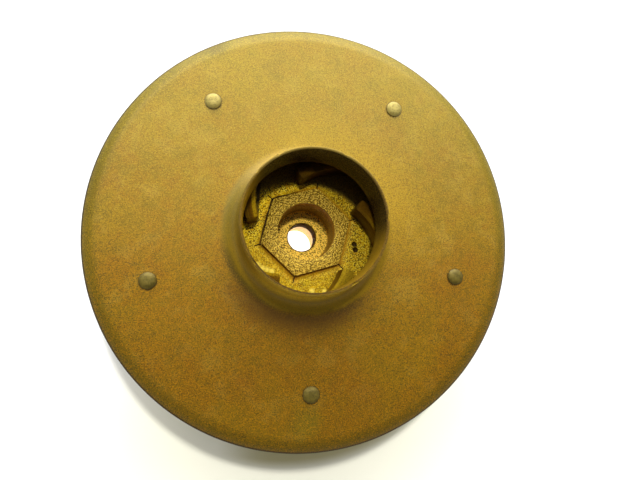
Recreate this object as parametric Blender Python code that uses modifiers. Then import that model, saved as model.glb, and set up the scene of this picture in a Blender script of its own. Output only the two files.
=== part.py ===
# Closed pump impeller of riveted sheet brass, seen from its inlet eye along -Z.
# Metres, +Z up along the shaft axis. The hub's back end stands on z = 0 and the eye faces up.
import math

import bmesh
import bpy
from mathutils import Matrix, Vector

# Driving dimensions
OUTER_RADIUS = 0.0762        # both shrouds, a 6 inch wheel
SHEET = 0.0010               # front shroud and its collar
PLATE = 0.0016               # back shroud
GAP = 0.0003                 # clearance between pieces that touch on the real wheel
LIP_LEVEL = 0.0491           # outer edge of the front shroud above the hub's back end
LIP_DROP = 0.0022            # how far the rounded edge falls below the flat of the disc
LIP_RADIUS = 0.0080
COLLAR_RADIUS = 0.0238       # outside of the inlet collar
COLLAR_TOP = 0.0710
FLARE_RADIUS = 0.0072        # outside of the bend from the collar to the disc
PASSAGE = 0.0066             # between the two shrouds

HEX_ACROSS_FLATS = 0.0292
HEX_CORNER_ROUND = 0.0016
HEX_TURN = 15.0              # degrees, first corner of the hexagon
HEX_PROUD = 0.0023           # hub face above the back shroud
SHOULDER_RADIUS = 0.0206
SHOULDER_THICKNESS = 0.0048
BARREL_RADIUS = 0.0143
BARREL_CHAMFER = 0.0008
COUNTERBORE_RADIUS = 0.0105
COUNTERBORE_LEVEL = 0.0299   # its flat bottom
STUD_BORE_RADIUS = 0.00555
SHAFT_BORE_RADIUS = 0.00715
SHAFT_BORE_LEVEL = 0.0215    # where the shaft bore meets the smaller stud bore

VANE_COUNT = 5
VANE_NOSE_RADIUS = 0.0198    # from the axis to the vane's inner end
VANE_TIP_RADIUS = 0.0698
VANE_SLOPE = 0.53            # radial rise for each unit of travel round the axis
VANE_NOSE_HALF = 0.0021
VANE_NOSE_REACH = 0.0019     # blunt end beyond the first station
VANE_NOSE_CORNER = 0.0010
VANE_NOSE_LEVEL = 0.0540     # the inner ends stand up into the collar's bend
VANE_BELLY_HALF = 0.0033     # where the rivet passes
VANE_TIP_HALF = 0.0009
VANE_STATIONS = 26
NOSE_CORNER_STEPS = 3
TIP_STEPS = 3

RIVET_CIRCLE_RADIUS = 0.0567
RIVET_FIRST_ANGLE = 54.0     # degrees
RIVET_SHANK_RADIUS = 0.0016
RIVET_HEAD_RADIUS = 0.0029
RIVET_HEAD_HEIGHT = 0.0015
RIVET_BACK_RADIUS = 0.0028
RIVET_BACK_HEIGHT = 0.0012

DISC_STEPS = 72
FLARE_STEPS = 6
HUB_STEPS = 48
RIVET_STEPS = 16
HOLE_STEPS = 16
MERGE = 0.00001

# Levels that follow from them
DISC_FACE = LIP_LEVEL + LIP_DROP
DISC_UNDER = DISC_FACE - SHEET
PLATE_FACE = DISC_UNDER - PASSAGE
PLATE_UNDER = PLATE_FACE - PLATE
HEX_FACE = PLATE_FACE + HEX_PROUD
SHOULDER_FACE = PLATE_UNDER - GAP
FLARE_CENTRE = (COLLAR_RADIUS + FLARE_RADIUS, DISC_FACE + FLARE_RADIUS)
RIVET_HOLE_RADIUS = RIVET_SHANK_RADIUS + GAP
VANE_SWEEP_TO_RIVET = math.log(RIVET_CIRCLE_RADIUS / VANE_NOSE_RADIUS) / VANE_SLOPE
VANE_SWEEP = math.log(VANE_TIP_RADIUS / VANE_NOSE_RADIUS) / VANE_SLOPE
RIVET_STEP = 2.0 * math.pi / VANE_COUNT

BRASS_DISC = (0.52, 0.33, 0.08)
BRASS_PLATE = (0.55, 0.40, 0.09)
BRASS_HUB = (0.58, 0.42, 0.18)
BRASS_VANE = (0.46, 0.31, 0.07)
BRASS_RIVET = (0.32, 0.25, 0.09)


def clear_scene():
    for old in list(bpy.data.objects):
        bpy.data.objects.remove(old, do_unlink=True)


def new_collection(name):
    made = bpy.data.collections.new(name)
    bpy.context.scene.collection.children.link(made)
    return made


def brass(name, colour, roughness):
    made = bpy.data.materials.new(name)
    made.use_nodes = True
    shader = made.node_tree.nodes["Principled BSDF"]
    shader.inputs["Base Color"].default_value = (*colour, 1.0)
    shader.inputs["Roughness"].default_value = roughness
    shader.inputs["Metallic"].default_value = 0.9
    return made


def place(name, data, collection, material=None):
    made = bpy.data.objects.new(name, data)
    collection.objects.link(made)
    if material:
        data.materials.append(material)
    return made


def hide_as_cutter(cutter):
    cutter.hide_render = True
    cutter.display_type = "WIRE"


def arc(centre, radius, start, end, steps):
    """Points of a round stretch in the X-Z plane, angles in degrees from +X."""
    points = []
    for step in range(steps + 1):
        angle = math.radians(start + (end - start) * step / steps)
        points.append((centre[0] + radius * math.cos(angle), centre[1] + radius * math.sin(angle)))
    return points


def turned(name, profile, closed, steps, collection, material=None):
    """A profile in the X-Z plane spun round Z by a Screw modifier."""
    mesh = bpy.data.meshes.new(name)
    edges = [(i, i + 1) for i in range(len(profile) - 1)]
    if closed:
        edges.append((len(profile) - 1, 0))
    mesh.from_pydata([(x, 0.0, z) for x, z in profile], edges, [])
    made = place(name, mesh, collection, material)
    screw = made.modifiers.new("spin", "SCREW")
    screw.axis = "Z"
    screw.steps = steps
    screw.render_steps = steps
    screw.use_merge_vertices = True
    screw.merge_threshold = MERGE
    screw.use_smooth_shade = True
    return made


def boolean(target, other, operation):
    cut = target.modifiers.new(operation.lower(), "BOOLEAN")
    cut.operation = operation
    cut.solver = "EXACT"
    cut.object = other


def on_circle(radius, angle):
    return Vector((radius * math.cos(angle), radius * math.sin(angle)))


def ring_points(centre, radius, steps):
    return [Vector(centre) + on_circle(radius, 2.0 * math.pi * i / steps) for i in range(steps)]


def flat_piece(name, outlines, low, high, collection, material):
    """Outlines filled flat and extruded from z = low to z = high; inner outlines are holes."""
    curve = bpy.data.curves.new(name, "CURVE")
    curve.dimensions = "2D"
    curve.fill_mode = "BOTH"
    curve.extrude = (high - low) / 2.0
    for outline in outlines:
        spline = curve.splines.new("POLY")
        spline.points.add(len(outline) - 1)
        spline.use_cyclic_u = True
        for point, where in zip(spline.points, outline):
            point.co = (where[0], where[1], 0.0, 1.0)
    made = place(name, curve, collection, material)
    made.location.z = (high + low) / 2.0
    return made


def hexagon(grow, corner_steps):
    """The hub's hexagon with rounded corners, each flat moved out by grow."""
    flat = HEX_ACROSS_FLATS / 2.0 + grow
    corner_round = HEX_CORNER_ROUND + grow
    centre_distance = (flat - corner_round) / math.cos(math.radians(30.0))
    points = []
    for side in range(6):
        corner = math.radians(HEX_TURN + 60.0 * side)
        for step in range(corner_steps + 1):
            turn = corner + math.radians(60.0 * step / corner_steps - 30.0)
            points.append(on_circle(centre_distance, corner) + on_circle(corner_round, turn))
    return points


def rivet_angle(index):
    return math.radians(RIVET_FIRST_ANGLE) + RIVET_STEP * index


def rivet_place(index):
    return on_circle(RIVET_CIRCLE_RADIUS, rivet_angle(index))


def front_shroud(parts, cutters):
    """Disc with a rounded edge and a tall inlet collar, spun from one sheet."""
    lip_turn = math.degrees(math.acos(1.0 - LIP_DROP / LIP_RADIUS))
    lip = (OUTER_RADIUS - LIP_RADIUS * math.sin(math.radians(lip_turn)), DISC_FACE - LIP_RADIUS)
    outside = [(COLLAR_RADIUS, COLLAR_TOP)]
    outside += arc(FLARE_CENTRE, FLARE_RADIUS, 180.0, 270.0, FLARE_STEPS)
    outside += arc(lip, LIP_RADIUS, 90.0, 90.0 - lip_turn, 5)
    inside = arc(lip, LIP_RADIUS - SHEET, 90.0 - lip_turn, 90.0, 5)
    inside += arc(FLARE_CENTRE, FLARE_RADIUS + SHEET, 270.0, 180.0, FLARE_STEPS)
    inside += [(COLLAR_RADIUS - SHEET, COLLAR_TOP)]
    material = brass("front_shroud", BRASS_DISC, 0.55)
    made = turned("front_shroud", outside + inside, True, DISC_STEPS, parts, material)
    boolean(made, rivet_hole_cutter(cutters), "DIFFERENCE")
    return made


def rivet_hole_cutter(cutters):
    """Five short pegs that cut the rivet holes in the front shroud."""
    mesh = bpy.data.meshes.new("rivet_holes")
    build = bmesh.new()
    for index in range(VANE_COUNT):
        where = Matrix.Translation(rivet_place(index).to_3d() + Vector((0.0, 0.0, DISC_FACE)))
        bmesh.ops.create_cone(
            build, cap_ends=True, segments=HOLE_STEPS, matrix=where, depth=4.0 * SHEET,
            radius1=RIVET_HOLE_RADIUS, radius2=RIVET_HOLE_RADIUS)
    build.to_mesh(mesh)
    build.free()
    made = place("rivet_holes", mesh, cutters)
    hide_as_cutter(made)
    return made


def back_shroud(parts):
    """Flat plate with a hexagonal hole for the hub and the five rivet holes."""
    outlines = [ring_points((0.0, 0.0), OUTER_RADIUS, DISC_STEPS), hexagon(GAP, 2)]
    for index in range(VANE_COUNT):
        outlines.append(ring_points(rivet_place(index), RIVET_HOLE_RADIUS, HOLE_STEPS))
    material = brass("back_shroud", BRASS_PLATE, 0.42)
    return flat_piece("back_shroud", outlines, PLATE_UNDER, PLATE_FACE, parts, material)


def hub(parts, cutters):
    """Turned barrel and shoulder with a hexagonal nose, bored from both ends."""
    outside = [(0.0, SHOULDER_FACE), (SHOULDER_RADIUS, SHOULDER_FACE)]
    outside.append((SHOULDER_RADIUS, SHOULDER_FACE - SHOULDER_THICKNESS))
    outside.append((BARREL_RADIUS, SHOULDER_FACE - SHOULDER_THICKNESS))
    outside.append((BARREL_RADIUS, BARREL_CHAMFER))
    outside.append((BARREL_RADIUS - BARREL_CHAMFER, 0.0))
    outside.append((0.0, 0.0))
    made = turned("hub", outside, False, HUB_STEPS, parts, brass("hub", BRASS_HUB, 0.4))
    boolean(made, hex_nose(cutters), "UNION")
    boolean(made, bore_cutter(cutters), "DIFFERENCE")
    return made


def hex_nose(cutters):
    """The hexagon that stands through the back shroud, rooted in the hub's shoulder."""
    root = SHOULDER_FACE - SHOULDER_THICKNESS / 2.0
    curve_piece = flat_piece("hex_nose", [hexagon(0.0, 2)], root, HEX_FACE, cutters, None)
    made = as_mesh(curve_piece, cutters)
    hide_as_cutter(made)
    return made


def as_mesh(curve_piece, collection):
    """A curve object made a mesh with its caps welded, so that a Boolean can use it."""
    bpy.context.view_layer.update()
    evaluated = curve_piece.evaluated_get(bpy.context.evaluated_depsgraph_get())
    mesh = bpy.data.meshes.new_from_object(evaluated)
    build = bmesh.new()
    build.from_mesh(mesh)
    bmesh.ops.remove_doubles(build, verts=build.verts, dist=MERGE)
    build.to_mesh(mesh)
    build.free()
    name = curve_piece.name
    where = curve_piece.matrix_world.copy()
    bpy.data.objects.remove(curve_piece, do_unlink=True)
    made = place(name, mesh, collection)
    made.matrix_world = where
    return made


def bore_cutter(cutters):
    """Nut counterbore, stud bore and shaft bore on one axis."""
    past = 0.002
    profile = [(0.0, HEX_FACE + past), (COUNTERBORE_RADIUS, HEX_FACE + past)]
    profile += [(COUNTERBORE_RADIUS, COUNTERBORE_LEVEL), (STUD_BORE_RADIUS, COUNTERBORE_LEVEL)]
    profile += [(STUD_BORE_RADIUS, SHAFT_BORE_LEVEL), (SHAFT_BORE_RADIUS, SHAFT_BORE_LEVEL)]
    profile += [(SHAFT_BORE_RADIUS, -past), (0.0, -past)]
    made = turned("bores", profile, False, HUB_STEPS, cutters)
    hide_as_cutter(made)
    return made


def ease(share):
    """Smooth step from 0 to 1."""
    return share * share * (3.0 - 2.0 * share)


def vane_half_thickness(share):
    """Half the vane's thickness at a share of its sweep from nose to tip."""
    belly = VANE_SWEEP_TO_RIVET / VANE_SWEEP
    if share < belly:
        return VANE_NOSE_HALF + (VANE_BELLY_HALF - VANE_NOSE_HALF) * ease(share / belly)
    past_belly = (share - belly) / (1.0 - belly)
    return VANE_BELLY_HALF + (VANE_TIP_HALF - VANE_BELLY_HALF) * ease(past_belly)


def vane_frame(index, share):
    """Centre line point and outward travel direction of the equiangular spiral."""
    sweep = VANE_SWEEP * share
    radius = VANE_NOSE_RADIUS * math.exp(VANE_SLOPE * sweep)
    angle = rivet_angle(index) + VANE_SWEEP_TO_RIVET - sweep
    travel = on_circle(VANE_SLOPE, angle) + on_circle(1.0, angle - math.pi / 2.0)
    return on_circle(radius, angle), travel.normalized()


def round_tip(centre, travel):
    """Half circle that closes a vane's outline at its tip."""
    start = math.atan2(travel.y, travel.x) - math.pi / 2.0
    return [centre + on_circle(VANE_TIP_HALF, start + math.pi * i / TIP_STEPS) for i in range(1, TIP_STEPS)]


def blunt_nose(centre, travel):
    """Square end with rounded corners that closes a vane's outline at its nose."""
    heading = math.atan2(travel.y, travel.x)
    points = []
    for side in (1.0, -1.0):
        aside = Vector((-travel.y, travel.x)) * side * (VANE_NOSE_HALF - VANE_NOSE_CORNER)
        corner = centre + aside - travel * (VANE_NOSE_REACH - VANE_NOSE_CORNER)
        first = heading + (math.pi / 2.0 if side > 0.0 else math.pi)
        for step in range(NOSE_CORNER_STEPS + 1):
            turn = first + math.pi / 2.0 * step / NOSE_CORNER_STEPS
            points.append(corner + on_circle(VANE_NOSE_CORNER, turn))
    return points


def vane_outline(index):
    right, left = [], []
    for station in range(VANE_STATIONS + 1):
        share = station / VANE_STATIONS
        centre, travel = vane_frame(index, share)
        aside = Vector((-travel.y, travel.x)) * vane_half_thickness(share)
        right.append(centre - aside)
        left.append(centre + aside)
    tip = round_tip(*vane_frame(index, 1.0))
    nose = blunt_nose(*vane_frame(index, 0.0))
    return right + tip + left[::-1] + nose


def vane_room(cutters):
    """The space that the vanes fill: it follows the underside of the front shroud and its bend."""
    reach = FLARE_RADIUS + SHEET + GAP
    start = 180.0 + math.degrees(math.asin((FLARE_CENTRE[1] - VANE_NOSE_LEVEL) / reach))
    foot = PLATE_FACE + GAP
    profile = [(0.0, VANE_NOSE_LEVEL)]
    profile += arc(FLARE_CENTRE, reach, start, 270.0, FLARE_STEPS)
    profile += [(OUTER_RADIUS, DISC_UNDER - GAP), (OUTER_RADIUS, foot), (0.0, foot)]
    made = turned("vane_room", profile, False, DISC_STEPS, cutters)
    hide_as_cutter(made)
    return made


def vanes(parts, cutters):
    """Five solid vanes that sweep clockwise on their way out, each drilled for one rivet."""
    room = vane_room(cutters)
    material = brass("vanes", BRASS_VANE, 0.45)
    for index in range(VANE_COUNT):
        hole = ring_points(rivet_place(index), RIVET_HOLE_RADIUS, HOLE_STEPS)
        blank = flat_piece(
            f"vane_{index + 1}", [vane_outline(index), hole],
            PLATE_FACE - GAP, VANE_NOSE_LEVEL + GAP, parts, None)
        made = as_mesh(blank, parts)
        made.data.materials.append(material)
        boolean(made, room, "INTERSECT")


def dome(radius, height, level, upward, steps):
    """Quarter profile of a rivet head, from the axis to its edge."""
    points = []
    for step in range(steps + 1):
        angle = math.radians(90.0 * step / steps)
        rise = height * math.cos(angle)
        points.append((radius * math.sin(angle), level + (rise if upward else -rise)))
    return points


def rivets(parts):
    """Five rivets through both shrouds, domed in front and peened over behind."""
    material = brass("rivets", BRASS_RIVET, 0.4)
    front = DISC_FACE + GAP
    back = PLATE_UNDER - GAP
    profile = dome(RIVET_HEAD_RADIUS, RIVET_HEAD_HEIGHT, front, True, 5)
    profile += [(RIVET_SHANK_RADIUS, front), (RIVET_SHANK_RADIUS, back)]
    profile += dome(RIVET_BACK_RADIUS, RIVET_BACK_HEIGHT, back, False, 4)[::-1]
    for index in range(VANE_COUNT):
        made = turned(f"rivet_{index + 1}", profile, False, RIVET_STEPS, parts, material)
        made.location = rivet_place(index).to_3d()


def build_impeller():
    clear_scene()
    parts = new_collection("pump_impeller")
    cutters = new_collection("cutters")
    front_shroud(parts, cutters)
    back_shroud(parts)
    hub(parts, cutters)
    vanes(parts, cutters)
    rivets(parts)


build_impeller()
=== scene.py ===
"""Looks of a closed pump impeller made of riveted sheet brass.

The wheel lies on the back end of its hub with the inlet eye facing up. Each sub-assembly is a
class that builds its own meshes and dresses them, and each finish is a small frozen dataclass.
Lengths are in metres, and directions round the axis are in degrees where radians aren't named.
"""

import logging
import math
from contextlib import contextmanager
from dataclasses import dataclass
from enum import Enum
from typing import Any, Callable, Iterable, Iterator, Sequence

import bpy
from mathutils import Matrix, Vector


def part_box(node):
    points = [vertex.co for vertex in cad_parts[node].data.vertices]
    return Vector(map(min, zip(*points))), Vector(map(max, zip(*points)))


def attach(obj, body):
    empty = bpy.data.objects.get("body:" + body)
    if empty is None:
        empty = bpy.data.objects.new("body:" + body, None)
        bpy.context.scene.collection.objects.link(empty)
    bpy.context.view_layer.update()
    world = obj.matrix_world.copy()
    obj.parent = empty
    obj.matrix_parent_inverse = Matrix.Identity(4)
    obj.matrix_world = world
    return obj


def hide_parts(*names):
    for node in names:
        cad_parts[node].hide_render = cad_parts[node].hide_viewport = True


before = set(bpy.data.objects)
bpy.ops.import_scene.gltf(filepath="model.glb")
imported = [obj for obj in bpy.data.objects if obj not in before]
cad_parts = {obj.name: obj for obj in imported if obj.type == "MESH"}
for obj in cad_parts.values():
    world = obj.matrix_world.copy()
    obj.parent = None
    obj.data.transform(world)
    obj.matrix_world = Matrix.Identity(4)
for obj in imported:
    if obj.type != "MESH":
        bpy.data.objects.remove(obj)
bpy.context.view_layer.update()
LOG = logging.getLogger("impeller")
BODY = "root"
MILLIMETRE = 0.001
SEAM = 1e-6
PAST = 0.002  # how far a cutter reaches past the piece that it cuts

Point = tuple[float, float]
Ends = tuple[float, float]  # the two ends of a fade
Place = tuple[float, float, float]
Colour = tuple[float, float, float]
Lumps = tuple[float, float, float]  # size, detail and roughness of a noise


class Operation(Enum):
    """How one solid acts on another."""

    CUT = "DIFFERENCE"
    JOIN = "UNION"
    KEEP = "INTERSECT"


class Slot(Enum):
    """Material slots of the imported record."""

    SHROUD = "shroud_brass"
    PLATE = "plate_brass"
    HUB = "hub_brass"
    VANE = "vane_brass"
    RIVET = "rivet_brass"


class Signal:
    """A shader socket that takes part in Python arithmetic."""

    def __init__(self, tree: "Tree", socket: bpy.types.NodeSocket) -> None:
        """Wraps an output socket of a tree."""
        self.tree = tree
        self.socket = socket

    def __add__(self, other: "Value") -> "Signal":
        """Sum."""
        return self.tree.math("ADD", self, other)

    def __sub__(self, other: "Value") -> "Signal":
        """Difference."""
        return self.tree.math("SUBTRACT", self, other)

    def __rsub__(self, other: "Value") -> "Signal":
        """Difference with a number on the left."""
        return self.tree.math("SUBTRACT", other, self)

    def __mul__(self, other: "Value") -> "Signal":
        """Product."""
        return self.tree.math("MULTIPLY", self, other)

    def __truediv__(self, other: "Value") -> "Signal":
        """Quotient."""
        return self.tree.math("DIVIDE", self, other)

    def __pow__(self, other: "Value") -> "Signal":
        """Power."""
        return self.tree.math("POWER", self, other)

    __radd__ = __add__
    __rmul__ = __mul__

    def greatest(self, other: "Value") -> "Signal":
        """The larger of two values."""
        return self.tree.math("MAXIMUM", self, other)

    def size(self) -> "Signal":
        """The value without its sign."""
        return self.tree.math("ABSOLUTE", self, 0.0)

    def step(self, low: float, high: float) -> "Signal":
        """Smooth step from 0 at low to 1 at high, or falling where low is above high.

        Args:
            low: where the result is 0.
            high: where the result is 1.

        Returns:
            The step, held at 0 and 1 beyond its ends.
        """
        ends = {1: low, 2: high, 3: 0.0, 4: 1.0}
        if low > high:
            ends = {1: high, 2: low, 3: 1.0, 4: 0.0}
        settings = {"interpolation_type": "SMOOTHSTEP", "clamp": True}
        return self.tree.add("MapRange", settings, {0: self, **ends})

    def edge(self, place: float, ends: Ends) -> "Signal":
        """Smooth step whose two ends are given by how far they are beyond a place."""
        return self.step(place + ends[0], place + ends[1])


Value = float | Signal
Tone = Colour | Signal
Coat = tuple[Value, Tone]  # how much of a colour is laid on, and the colour


class Tree:
    """A node tree that is built from Python expressions."""

    def __init__(self, tree: bpy.types.NodeTree) -> None:
        """Takes a node tree to build in."""
        self.tree = tree

    def add(self, kind: str, settings: dict[str, Any], values: dict[Any, Any],
            out: int | str = 0) -> Signal:
        """Adds one node.

        Args:
            kind: the node's type, without the ShaderNode that they all start with.
            settings: properties that are set first.
            values: numbers or signals for its sockets, by index or name.
            out: the output that is read.

        Returns:
            The chosen output as a signal.
        """
        node = self.tree.nodes.new("ShaderNode" + kind)
        for name, value in settings.items():
            setattr(node, name, value)
        for key, value in values.items():
            self.feed(node.inputs[key], value)
        return Signal(self, node.outputs[out])

    def feed(self, socket: bpy.types.NodeSocket, value: Any) -> None:
        """Gives an input its value.

        Args:
            socket: the input.
            value: a number or colour, or the signal that the input is linked to.
        """
        if isinstance(value, Signal):
            self.tree.links.new(value.socket, socket)
        else:
            socket.default_value = value

    def math(self, operation: str, *values: Value) -> Signal:
        """One Math node of the given operation."""
        return self.add("Math", {"operation": operation}, dict(enumerate(values)))

    def axes(self, vector: Signal) -> tuple[Signal, ...]:
        """The three parts of a vector."""
        return tuple(self.add("SeparateXYZ", {}, {0: vector}, axis) for axis in "XYZ")


class Graph(Tree):
    """A material whose colours, roughness and relief come from noise and places on the piece."""

    def __init__(self, name: str) -> None:
        """Starts a material with one Principled shader.

        Args:
            name: the material's name.
        """
        self.material = bpy.data.materials.new(name)
        self.material.use_nodes = True
        super().__init__(self.material.node_tree)
        self.shader = self.tree.nodes["Principled BSDF"]
        self.place = self.add("TexCoord", {}, {}, "Object")
        self.x, self.y, self.z = self.axes(self.place)
        self.radius = (self.x * self.x + self.y * self.y) ** 0.5

    def noise(self, size: float, detail: float = 2.0, roughness: float = 0.5,
              where: Signal | None = None) -> Signal:
        """Soft noise from 0 to 1.

        Args:
            size: width of its lumps, about.
            detail: how many finer noises are added to it.
            roughness: how strong those are.
            where: place that it is read at, instead of the piece's own.

        Returns:
            The noise.
        """
        return self.add("TexNoise", {}, {
            "Vector": where or self.place, "Scale": 1.0 / size, "Detail": detail,
            "Roughness": roughness})

    def spot(self, place: Point, inner: float, outer: float) -> Signal:
        """A round spot that runs right through the piece, along the axis.

        Args:
            place: its middle.
            inner: radius within which it is 1.
            outer: radius beyond which it is 0.

        Returns:
            The spot's mask.
        """
        aside = self.x - place[0]
        along = self.y - place[1]
        return ((aside * aside + along * along) ** 0.5).step(outer, inner)

    def toward(self, degrees: float) -> Signal:
        """Cosine of the angle between a point's direction from the axis and a given direction."""
        cosine, sine = math.cos(math.radians(degrees)), math.sin(math.radians(degrees))
        return (self.x * cosine + self.y * sine) / self.radius.greatest(MILLIMETRE)

    def turned(self) -> Signal:
        """Angle of a point round the axis, in radians."""
        return self.math("ARCTAN2", self.y, self.x)

    def blend(self, share: Value, first: Tone, second: Tone) -> Signal:
        """Colour that goes from first to second as share goes from 0 to 1."""
        first, second = (c if isinstance(c, Signal) else (*c, 1.0) for c in (first, second))
        return self.add("Mix", {"data_type": "RGBA"}, {0: share, 6: first, 7: second}, 2)

    def paint(self, colour: Tone, *coats: Coat) -> Signal:
        """Lays coats of colour over a first one.

        Args:
            colour: the colour underneath.
            coats: share and colour of each coat, from the lowest to the topmost.

        Returns:
            The colour that shows.
        """
        for share, tone in coats:
            colour = self.blend(share, colour, tone)
        return colour

    def bump(self, *reliefs: tuple[Signal, float]) -> Signal:
        """Normal of a surface with one relief on another.

        Args:
            reliefs: each one's height from 0 to 1, and its depth in metres, lowest first.

        Returns:
            The normal.
        """
        normal = {}
        for height, depth in reliefs:
            values = {"Height": height, "Distance": depth, "Strength": 1.0, **normal}
            normal = {"Normal": self.add("Bump", {}, values)}
        return normal["Normal"]

    def finish(self, **inputs: Any) -> bpy.types.Material:
        """Sets or links the shader's inputs.

        Args:
            inputs: number or signal for each input, by its name in lower case.

        Returns:
            The material.
        """
        for name, value in inputs.items():
            socket = name.replace("_", " ").title().replace("Ior", "IOR")
            self.feed(self.shader.inputs[socket], value)
        return self.material


@dataclass(frozen=True)
class Wheel:
    """Main radii and levels of the wheel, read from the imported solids."""

    outer_radius: float
    collar_top: float
    disc_face: float
    disc_under: float
    plate_face: float
    plate_under: float
    hex_face: float
    shoulder_radius: float
    shoulder_face: float
    vane_top: float
    rivet_places: tuple[Vector, ...]
    rivet_hole: float = 0.00165
    peg_reach: float = 0.005
    peg_sides: int = 32

    @classmethod
    def from_frame(cls) -> "Wheel":
        """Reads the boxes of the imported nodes.

        Returns:
            The wheel's sizes.
        """
        shroud, plate, hub, vane = (
            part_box(node) for node in ("front_shroud", "back_shroud", "hub", "vane_1"))
        gap = vane[0].z - plate[1].z
        rivets = [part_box(f"rivet_{number}") for number in range(1, 6)]
        places = tuple(
            Vector(((low.x + high.x) / 2, (low.y + high.y) / 2, 0.0)) for low, high in rivets)
        disc_face = rivets[0][1].z - Rivets.head_height - gap
        return cls(
            outer_radius=shroud[1].x, collar_top=shroud[1].z, disc_face=disc_face,
            disc_under=disc_face - FrontShroud.sheet, plate_face=plate[1].z,
            plate_under=plate[0].z, hex_face=hub[1].z, shoulder_radius=hub[1].x,
            shoulder_face=plate[0].z - gap, vane_top=vane[1].z, rivet_places=places)

    @property
    def rivet_first_angle(self) -> float:
        """Angle of the first rivet, in radians."""
        return math.atan2(self.rivet_places[0].y, self.rivet_places[0].x)

    @property
    def rivet_circle(self) -> float:
        """Radius of the rivets' circle."""
        return self.rivet_places[0].length

    def rivet_pegs(self, level: float) -> bpy.types.Object:
        """Pegs that drill the rivet holes.

        Args:
            level: height of the pegs' middle.

        Returns:
            The pegs as one tool.
        """
        pegs = []
        for place in self.rivet_places:
            pegs.append(Bench.prism(
                self.rivet_hole, self.peg_sides, level - self.peg_reach, level + self.peg_reach))
            bpy.ops.transform.translate(value=place)
            bpy.ops.object.transform_apply()
        return Bench.join(pegs)


def polar(radius: float, angle: float, level: float = 0.0) -> Vector:
    """A point at a radius and an angle in radians, at a level."""
    return Vector((radius * math.cos(angle), radius * math.sin(angle), level))


def arc(centre: Point, radius: float, start: float, end: float, steps: int) -> list[Point]:
    """Points of a round stretch of a profile.

    Args:
        centre: its centre, as radius and level.
        radius: its radius.
        start: first angle in degrees, from straight out.
        end: last angle in degrees.
        steps: number of chords.

    Returns:
        The points from start to end.
    """
    angles = [math.radians(start + (end - start) * i / steps) for i in range(steps + 1)]
    return [(centre[0] + radius * math.cos(a), centre[1] + radius * math.sin(a)) for a in angles]


def stretch(start: Point, end: Point, steps: int) -> list[Point]:
    """Evenly spaced points of a straight stretch of a profile, without its ends."""
    shares = [i / steps for i in range(1, steps)]
    return [tuple(a + (b - a) * share for a, b in zip(start, end)) for share in shares]


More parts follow.
